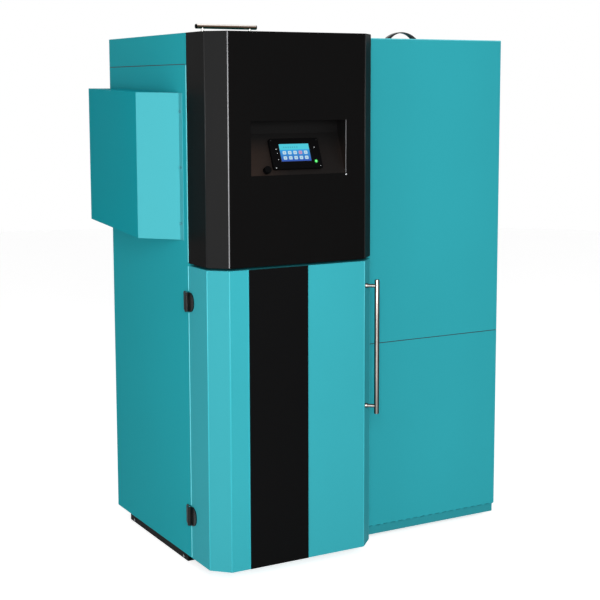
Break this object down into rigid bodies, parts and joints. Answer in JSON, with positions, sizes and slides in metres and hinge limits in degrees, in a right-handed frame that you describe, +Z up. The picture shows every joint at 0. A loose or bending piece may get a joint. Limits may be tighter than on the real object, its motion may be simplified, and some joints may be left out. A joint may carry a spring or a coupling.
{
  "type": "pellet boiler",
  "caption": "Floor-standing pellet boiler: teal sheet casing with chamfered black upper cover, recessed touch console, hinged door with bar handle, and a side tank with lid.",
  "frame": {"origin": "on the floor, under the middle of the whole object's bounding box", "axes": "+X to the right seen from the front, towards the tank; +Y to the back; +Z up"},
  "size_m": [1.131, 0.9273, 1.539],
  "materials": {
    "teal_paint": "satin powder coat",
    "black_paint": "satin powder coat",
    "zinc": "galvanised",
    "vessel_steel": "raw plate",
    "stainless": "brushed",
    "cast_iron": "as cast",
    "refractory": "pressed board",
    "wool": "mineral wool",
    "rope": "braided rope",
    "motor_grey": "satin",
    "brass": "satin",
    "black_plastic": "fine grain",
    "red_plastic": "smooth",
    "screen": "lit display glass",
    "lamp": "lit lens",
    "rubber": "moulded"
  },
  "bodies": {
    "boiler": {"base_skid": "black_paint", "casing_screws": "zinc", "left_side_panel": "teal_paint", "right_side_panel": "teal_paint", "rear_panel": "zinc", "front_frame": "black_paint", "vessel_shell": "vessel_steel", "heat_exchanger": "vessel_steel", "furnace_lining": "refractory", "insulation_jacket": "wool", "flue_chamber": "vessel_steel", "flue_fan_housing": "zinc", "flue_fan_motor": "motor_grey", "burner_body": "vessel_steel", "burner_bowl": "cast_iron", "igniter": "stainless", "drop_chute": "zinc", "water_stubs": "vessel_steel", "drain_valve": "brass", "connection_box": "black_plastic", "casing_hinge_leaves": "black_paint", "hinge_pins": "stainless", "service_cover": "teal_paint", "cleaning_gearmotor": "motor_grey", "door_magnets": "black_plastic", "tank_shell": "teal_paint", "tank_upper_front": "teal_paint", "tank_plinth": "teal_paint", "tank_feet": "rubber", "hopper_funnel": "zinc", "auger_tube": "zinc", "auger_gearmotor": "motor_grey"},
    "lower_door": {"lower_door": "teal_paint", "door_stripe": "black_paint", "door_shield": "zinc", "door_handle_bar": "stainless", "door_handle_posts": "stainless", "door_hinge_leaves": "black_paint"},
    "furnace_door": {"furnace_door": "cast_iron", "furnace_seal": "rope"},
    "furnace_latch": {"furnace_latch": "stainless"},
    "ash_box": {"ash_box": "vessel_steel"},
    "upper_cover": {"upper_cover": "black_paint", "console_panel": "black_paint", "controller_bezel": "black_plastic", "screen_glass": "screen", "status_lamps": "lamp"},
    "thermostat_cap": {"thermostat_cap": "black_plastic"},
    "reset_button": {"reset_button": "red_plastic"},
    "top_cover": {"top_cover": "teal_paint", "top_handle": "stainless"},
    "chamber_lid": {"chamber_lid": "vessel_steel"},
    "turbulator_rack": {"turbulator_rack": "vessel_steel"},
    "cleaning_shaft": {"cleaning_shaft": "vessel_steel"},
    "flue_fan_impeller": {"flue_fan_impeller": "vessel_steel"},
    "auger": {"auger": "vessel_steel"},
    "tank_lower_front": {"tank_lower_front": "teal_paint"},
    "tank_lid": {"tank_lid": "teal_paint", "tank_lid_handle": "black_paint"},
    "drain_lever": {"drain_lever": "red_plastic"}
  },
  "joints": [
    {"name": "lower_door_hinge", "type": "hinge", "parent": "boiler", "child": "lower_door", "pos_m": [-0.4769, -0.28033, 0.47], "axis": [0, 0, 1], "range_deg": [-110, 0]},
    {"name": "furnace_door_hinge", "type": "hinge", "parent": "boiler", "child": "furnace_door", "pos_m": [-0.3865, -0.25033, 0.392], "axis": [0, 0, 1], "range_deg": [-88, 0]},
    {"name": "furnace_latch_turn", "type": "hinge", "parent": "furnace_door", "child": "furnace_latch", "pos_m": [-0.0925, -0.25633, 0.392], "axis": [0, 1, 0], "range_deg": [0, 75]},
    {"name": "ash_box_slide", "type": "slide", "parent": "boiler", "child": "ash_box", "axis": [0, -1, 0], "range_m": [0, 0.3]},
    {"name": "upper_cover_off", "type": "slide", "parent": "boiler", "child": "upper_cover", "axis": [0, -1, 0], "range_m": [0, 0.3]},
    {"name": "thermostat_cap_off", "type": "slide", "parent": "upper_cover", "child": "thermostat_cap", "axis": [0, -0.9241, 0.3822], "range_m": [0, 0.03]},
    {"name": "reset_button_press", "type": "slide", "parent": "upper_cover", "child": "reset_button", "axis": [0, 0.9241, -0.3822], "range_m": [0, 0.0015], "stiffness_N_per_m": 300},
    {"name": "top_cover_lift", "type": "slide", "parent": "boiler", "child": "top_cover", "axis": [0, 0, 1], "range_m": [0, 0.3]},
    {"name": "chamber_lid_lift", "type": "slide", "parent": "boiler", "child": "chamber_lid", "axis": [0, 0, 1], "range_m": [0, 0.15]},
    {"name": "turbulator_lift", "type": "slide", "parent": "boiler", "child": "turbulator_rack", "axis": [0, 0, 1], "range_m": [0, 0.032]},
    {"name": "cleaning_shaft_turn", "type": "hinge", "parent": "boiler", "child": "cleaning_shaft", "pos_m": [-0.2705, -0.07533, 1.275], "axis": [1, 0, 0], "range_deg": [0, 37]},
    {"name": "flue_fan_spin", "type": "hinge", "parent": "boiler", "child": "flue_fan_impeller", "pos_m": [-0.214, 0.40967, 1.312], "axis": [0, 1, 0], "continuous": true},
    {"name": "auger_spin", "type": "hinge", "parent": "boiler", "child": "auger", "pos_m": [0.4595, -0.03233, 0.22], "axis": [-0.5638, 0, 0.8259], "continuous": true},
    {"name": "tank_lid_hinge", "type": "hinge", "parent": "boiler", "child": "tank_lid", "pos_m": [0.307, 0.24867, 1.488], "axis": [-1, 0, 0], "range_deg": [0, 95]},
    {"name": "tank_lower_front_off", "type": "slide", "parent": "boiler", "child": "tank_lower_front", "axis": [0, -1, 0], "range_m": [0, 0.2]},
    {"name": "drain_lever_turn", "type": "hinge", "parent": "boiler", "child": "drain_lever", "pos_m": [-0.0705, 0.31067, 0.243], "axis": [0, 0, 1], "range_deg": [-90, 0]}
  ],
  "couplings": [
    {"joint": "furnace_door_hinge", "follows": "lower_door_hinge", "ratio": 0.8},
    {"joint": "ash_box_slide", "follows": "lower_door_hinge", "m_per_rad": -0.1562},
    {"joint": "chamber_lid_lift", "follows": "top_cover_lift", "ratio": 0.5},
    {"joint": "cleaning_shaft_turn", "follows": "turbulator_lift", "rad_per_m": 20}
  ]
}
